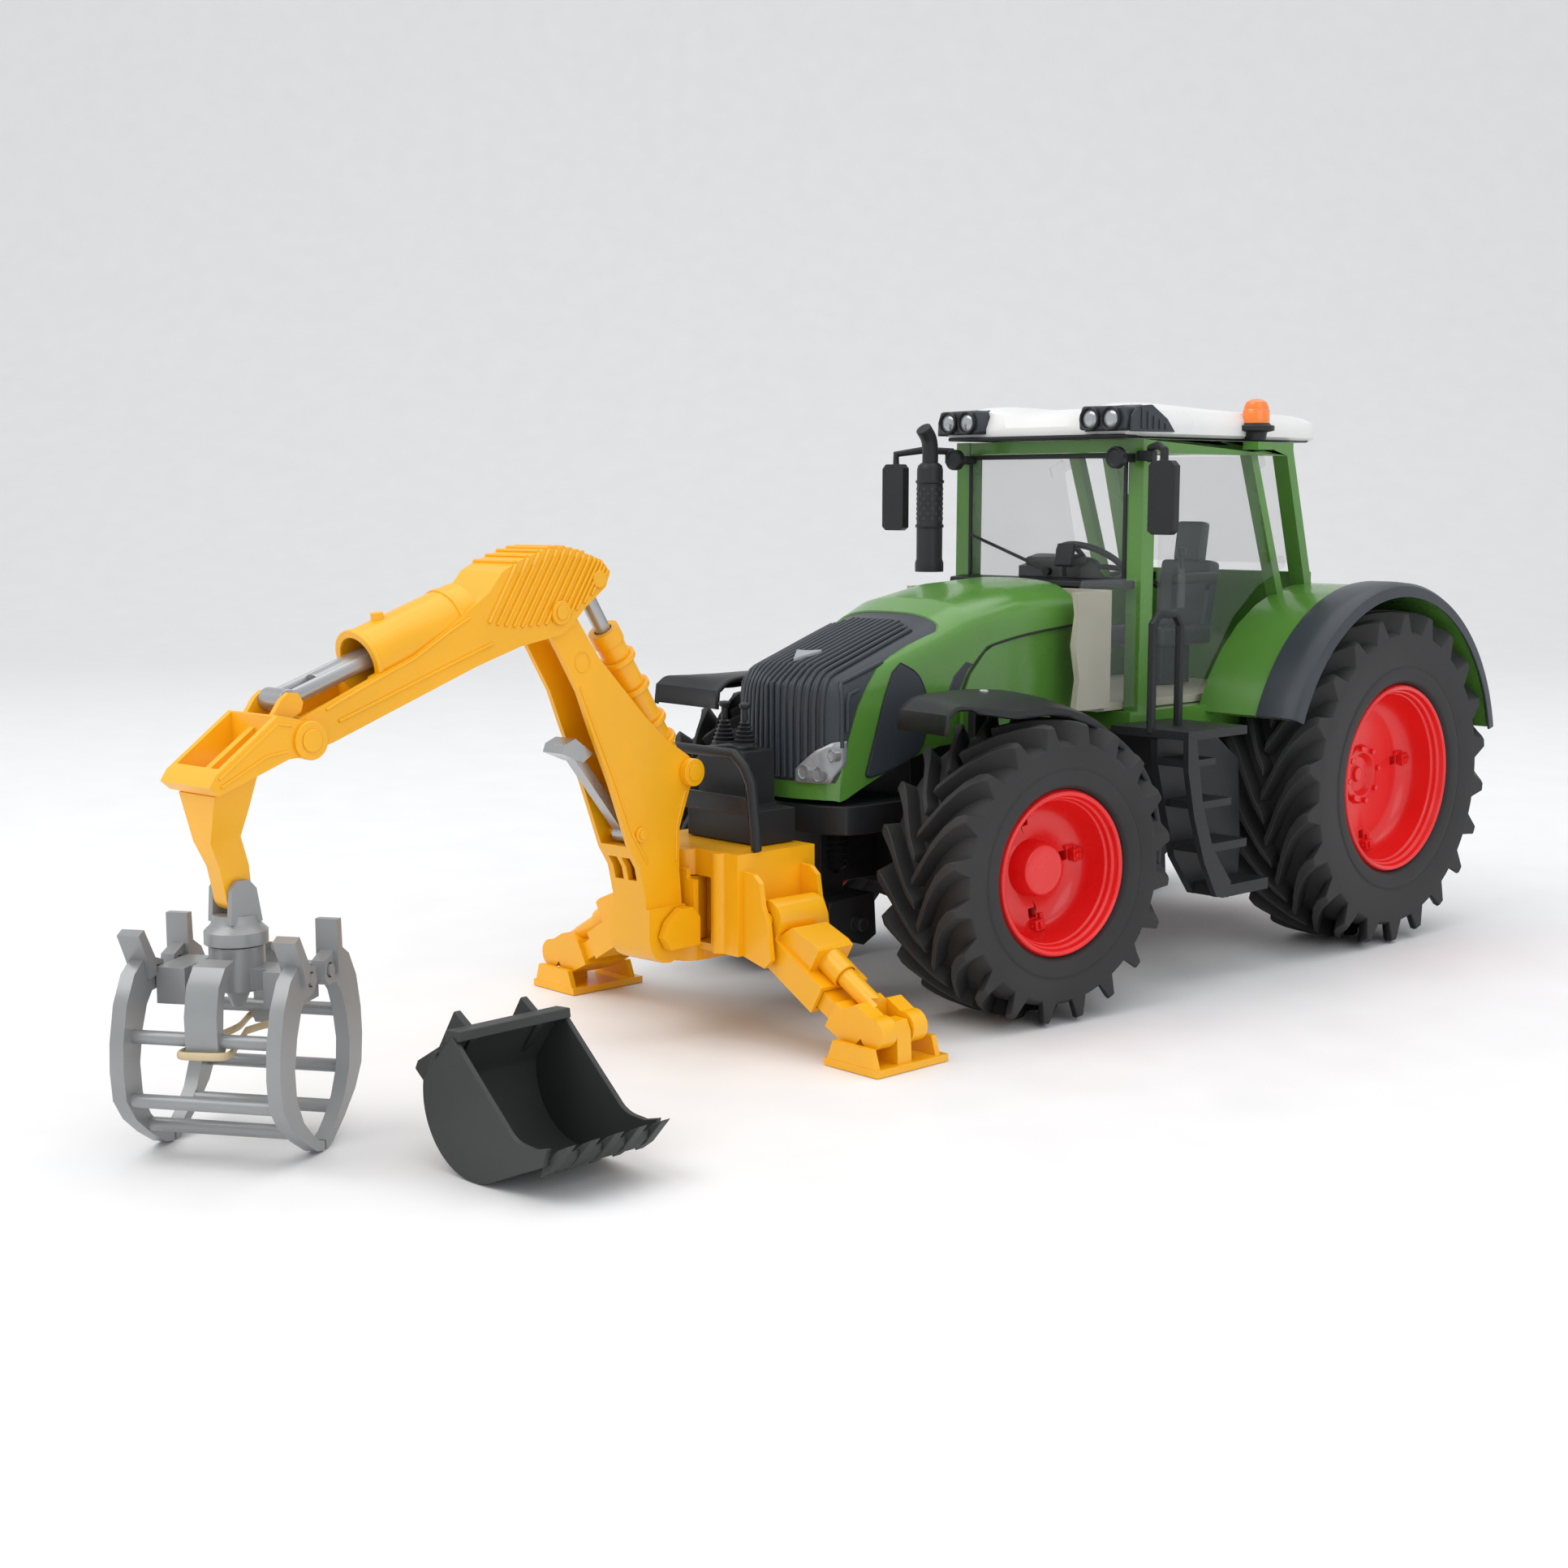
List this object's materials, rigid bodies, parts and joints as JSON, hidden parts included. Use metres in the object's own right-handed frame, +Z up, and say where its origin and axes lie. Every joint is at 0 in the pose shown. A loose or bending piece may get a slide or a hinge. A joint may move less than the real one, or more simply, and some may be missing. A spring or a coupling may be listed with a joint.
{
  "type": "toy backhoe loader",
  "caption": "Toy farm tractor with a folding digging arm, log grapple, outriggers and a spare bucket; wheels steer and roll, hood, doors and arm move on real hinges.",
  "frame": {"origin": "on the floor, under the middle of the whole object's box", "axes": "+Z up, the tractor's nose and the digging arm point along -Y, the tractor's left side is +X"},
  "size_m": [0.2044, 0.5598, 0.208],
  "materials": {
    "green_paint": "gloss moulded green",
    "yellow_paint": "gloss moulded yellow",
    "black_plastic": "satin",
    "slate_plastic": "satin",
    "roof_white": "satin off-white",
    "beige_plastic": "satin",
    "clear_plastic": "clear",
    "tyre_rubber": "matte",
    "rim_red": "gloss",
    "beacon_orange": "translucent",
    "silver_plastic": "silver grey, satin",
    "bucket_grey": "satin dark grey"
  },
  "bodies": {
    "tractor": {"chassis_frame": "black_plastic", "front_linkage": "black_plastic", "cab_body": "green_paint", "cab_floor": "beige_plastic", "roof": "roof_white", "beacon": "beacon_orange", "windscreen": "clear_plastic", "seat": "black_plastic", "dashboard": "black_plastic", "step_left": "black_plastic", "step_right": "black_plastic", "exhaust": "black_plastic", "engine_cover": "green_paint", "carrier": "yellow_paint", "control_console": "black_plastic", "guard_loop": "yellow_paint"},
    "hood": {"hood": "green_paint", "grille": "slate_plastic"},
    "front_axle": {"front_axle": "black_plastic"},
    "tie_rod": {"tie_rod": "black_plastic"},
    "knuckle_left": {"knuckle_left": "black_plastic", "front_fender_left": "black_plastic"},
    "knuckle_right": {"knuckle_right": "black_plastic", "front_fender_right": "black_plastic"},
    "front_wheel_left": {"front_rim_left": "rim_red", "front_tyre_left": "tyre_rubber"},
    "front_wheel_right": {"front_rim_right": "rim_red", "front_tyre_right": "tyre_rubber"},
    "rear_wheel_left": {"rear_rim_left": "rim_red", "rear_tyre_left": "tyre_rubber"},
    "rear_wheel_right": {"rear_rim_right": "rim_red", "rear_tyre_right": "tyre_rubber"},
    "link": {"link": "yellow_paint", "hook": "silver_plastic"},
    "boom": {"boom": "yellow_paint"},
    "boom_stay": {"boom_stay": "silver_plastic"},
    "bucket": {"bucket": "bucket_grey"},
    "cylinder_barrel": {"cylinder_barrel": "yellow_paint"},
    "cylinder_rod": {"cylinder_rod": "silver_plastic"},
    "door_left": {"door_left": "clear_plastic"},
    "door_right": {"door_right": "clear_plastic"},
    "grapple_beam": {"grapple_beam": "silver_plastic"},
    "grapple_head": {"grapple_head": "silver_plastic"},
    "jaw_far": {"jaw_far": "silver_plastic"},
    "jaw_near": {"jaw_near": "silver_plastic"},
    "lever_left": {"lever_left": "black_plastic"},
    "lever_right": {"lever_right": "black_plastic"},
    "mirror_left": {"mirror_left": "black_plastic"},
    "mirror_right": {"mirror_right": "black_plastic"},
    "outrigger_foot_left": {"outrigger_foot_left": "yellow_paint"},
    "outrigger_foot_right": {"outrigger_foot_right": "yellow_paint"},
    "outrigger_inner_left": {"outrigger_inner_left": "yellow_paint"},
    "outrigger_inner_right": {"outrigger_inner_right": "yellow_paint"},
    "outrigger_leg_left": {"outrigger_leg_left": "yellow_paint"},
    "outrigger_leg_right": {"outrigger_leg_right": "yellow_paint"},
    "ram_rod": {"ram_rod": "silver_plastic"},
    "rear_window": {"rear_window": "clear_plastic"},
    "slew_block": {"slew_block": "yellow_paint"},
    "steering_wheel": {"steering_wheel": "black_plastic"},
    "stick": {"stick": "yellow_paint"}
  },
  "joints": [
    {"name": "hood_hinge", "type": "hinge", "parent": "tractor", "child": "hood", "pos_m": [-0.01648, 0.07579, 0.138], "axis": [-1, 0, 0], "range_deg": [0, 40]},
    {"name": "steering_wheel_turn", "type": "hinge", "parent": "tractor", "child": "steering_wheel", "pos_m": [-0.01648, 0.12729, 0.147], "axis": [0, 0.5299, 0.848], "continuous": true},
    {"name": "door_left_hinge", "type": "hinge", "parent": "tractor", "child": "door_left", "pos_m": [0.03042, 0.17809, 0.1667], "axis": [0, -0.3714, 0.9285], "range_deg": [0, 65]},
    {"name": "door_right_hinge", "type": "hinge", "parent": "tractor", "child": "door_right", "pos_m": [-0.06338, 0.17809, 0.1667], "axis": [0, 0.3714, -0.9285], "range_deg": [0, 65]},
    {"name": "rear_window_hinge", "type": "hinge", "parent": "tractor", "child": "rear_window", "pos_m": [-0.01648, 0.19139, 0.1873], "axis": [1, 0, 0], "range_deg": [0, 50]},
    {"name": "mirror_left_fold", "type": "hinge", "parent": "tractor", "child": "mirror_left", "pos_m": [0.03092, 0.10079, 0.184], "axis": [0, 0, 1], "range_deg": [-10, 35]},
    {"name": "mirror_right_fold", "type": "hinge", "parent": "tractor", "child": "mirror_right", "pos_m": [-0.06388, 0.10079, 0.184], "axis": [0, 0, -1], "range_deg": [-10, 35]},
    {"name": "axle_oscillation", "type": "hinge", "parent": "tractor", "child": "front_axle", "pos_m": [-0.01648, 0.02159, 0.05015], "axis": [0, 1, 0], "range_deg": [-4.5, 4.5]},
    {"name": "steer_left", "type": "hinge", "parent": "front_axle", "child": "knuckle_left", "pos_m": [0.02352, 0.02159, 0.05015], "axis": [0, 0, 1], "range_deg": [-8.8, 21.2]},
    {"name": "steer_right", "type": "hinge", "parent": "front_axle", "child": "knuckle_right", "pos_m": [-0.05648, 0.02159, 0.05015], "axis": [0, 0, 1], "range_deg": [-8.8, 21.2]},
    {"name": "tie_rod_slide", "type": "slide", "parent": "front_axle", "child": "tie_rod", "axis": [1, 0, 0], "range_m": [-0.005, 0.0021]},
    {"name": "front_wheel_left_spin", "type": "hinge", "parent": "knuckle_left", "child": "front_wheel_left", "pos_m": [0.04559, 0.0192, 0.05015], "axis": [0.9942, -0.108, 0], "continuous": true},
    {"name": "rear_wheel_left_spin", "type": "hinge", "parent": "tractor", "child": "rear_wheel_left", "pos_m": [0.04872, 0.21229, 0.06445], "axis": [1, 0, 0], "continuous": true},
    {"name": "front_wheel_right_spin", "type": "hinge", "parent": "knuckle_right", "child": "front_wheel_right", "pos_m": [-0.07855, 0.02399, 0.05015], "axis": [0.9942, -0.108, 0], "continuous": true},
    {"name": "rear_wheel_right_spin", "type": "hinge", "parent": "tractor", "child": "rear_wheel_right", "pos_m": [-0.08168, 0.21229, 0.06445], "axis": [1, 0, 0], "continuous": true},
    {"name": "lever_left_tilt", "type": "hinge", "parent": "tractor", "child": "lever_left", "pos_m": [-0.01568, -0.05131, 0.091], "axis": [1, 0, 0], "range_deg": [-12, 12]},
    {"name": "lever_right_tilt", "type": "hinge", "parent": "tractor", "child": "lever_right", "pos_m": [-0.02568, -0.05131, 0.091], "axis": [1, 0, 0], "range_deg": [-12, 12]},
    {"name": "slew", "type": "hinge", "parent": "tractor", "child": "slew_block", "pos_m": [-0.01648, -0.07571, 0.04], "axis": [0, 0, 1], "range_deg": [-27, 10.5]},
    {"name": "boom_lift", "type": "hinge", "parent": "slew_block", "child": "boom", "pos_m": [-0.01495, -0.09314, 0.0345], "axis": [0.9962, 0.0872, 0], "range_deg": [-4, 15]},
    {"name": "cylinder_foot", "type": "hinge", "parent": "boom", "child": "cylinder_barrel", "pos_m": [-0.01593, -0.08198, 0.0856], "axis": [0.9962, 0.0872, 0], "range_deg": [-2, 2]},
    {"name": "cylinder_stroke", "type": "slide", "parent": "cylinder_barrel", "child": "cylinder_rod", "axis": [0.0474, -0.542, 0.8391], "range_m": [-0.0056, 0.0066]},
    {"name": "boom_stay_fold", "type": "hinge", "parent": "boom", "child": "boom_stay", "pos_m": [-0.01404, -0.1036, 0.068], "axis": [0.9962, 0.0872, 0], "range_deg": [-15, 0]},
    {"name": "stick_fold", "type": "hinge", "parent": "boom", "child": "stick", "pos_m": [-0.01105, -0.13777, 0.1382], "axis": [0.9962, 0.0872, 0], "range_deg": [-17, 20]},
    {"name": "ram_stroke", "type": "slide", "parent": "stick", "child": "ram_rod", "axis": [0.0827, -0.9447, -0.3173], "range_m": [-0.0035, 0.0035]},
    {"name": "link_curl", "type": "hinge", "parent": "stick", "child": "link", "pos_m": [-0.00314, -0.22812, 0.1083], "axis": [0.9962, 0.0872, 0], "range_deg": [-18, 18]},
    {"name": "grapple_swing", "type": "hinge", "parent": "link", "child": "grapple_head", "pos_m": [-0.00161, -0.24566, 0.068], "axis": [0.9962, 0.0872, 0], "range_deg": [-15, 15]},
    {"name": "grapple_turn", "type": "hinge", "parent": "grapple_head", "child": "grapple_beam", "pos_m": [-0.00166, -0.24506, 0.05], "axis": [0, 0, 1], "continuous": true},
    {"name": "jaw_near_open", "type": "hinge", "parent": "grapple_beam", "child": "jaw_near", "pos_m": [0.00178, -0.24998, 0.0475], "axis": [-0.8192, -0.5736, 0], "range_deg": [0, 22]},
    {"name": "jaw_far_open", "type": "hinge", "parent": "grapple_beam", "child": "jaw_far", "pos_m": [-0.0051, -0.24014, 0.0475], "axis": [0.8192, 0.5736, 0], "range_deg": [0, 22]},
    {"name": "outrigger_left_lift", "type": "hinge", "parent": "tractor", "child": "outrigger_leg_left", "pos_m": [0.01752, -0.06021, 0.0405], "axis": [0, -1, 0], "range_deg": [0, 50]},
    {"name": "outrigger_left_extend", "type": "slide", "parent": "outrigger_leg_left", "child": "outrigger_inner_left", "axis": [0.8704, 0, -0.4924], "range_m": [-0.006, 0]},
    {"name": "outrigger_left_foot", "type": "hinge", "parent": "outrigger_inner_left", "child": "outrigger_foot_left", "pos_m": [0.06302, -0.06021, 0.012], "axis": [0, -1, 0], "range_deg": [-10, 10]},
    {"name": "outrigger_right_lift", "type": "hinge", "parent": "tractor", "child": "outrigger_leg_right", "pos_m": [-0.05048, -0.06021, 0.0405], "axis": [0, 1, 0], "range_deg": [0, 50]},
    {"name": "outrigger_right_extend", "type": "slide", "parent": "outrigger_leg_right", "child": "outrigger_inner_right", "axis": [-0.8704, 0, -0.4924], "range_m": [-0.006, 0]},
    {"name": "outrigger_right_foot", "type": "hinge", "parent": "outrigger_inner_right", "child": "outrigger_foot_right", "pos_m": [-0.09598, -0.06021, 0.012], "axis": [0, 1, 0], "range_deg": [-10, 10]},
    {"name": "bucket_place", "type": "slide", "parent": "tractor", "child": "bucket", "axis": [1, 0, 0], "range_m": [0, 0.05]}
  ],
  "couplings": [
    {"joint": "steer_right", "follows": "steer_left", "ratio": 1},
    {"joint": "tie_rod_slide", "follows": "steer_left", "m_per_rad": -0.013123},
    {"joint": "cylinder_foot", "follows": "stick_fold", "ratio": -0.00959},
    {"joint": "cylinder_stroke", "follows": "stick_fold", "m_per_rad": 0.018371},
    {"joint": "ram_stroke", "follows": "link_curl", "m_per_rad": 0.010054},
    {"joint": "jaw_far_open", "follows": "jaw_near_open", "ratio": 1}
  ]
}
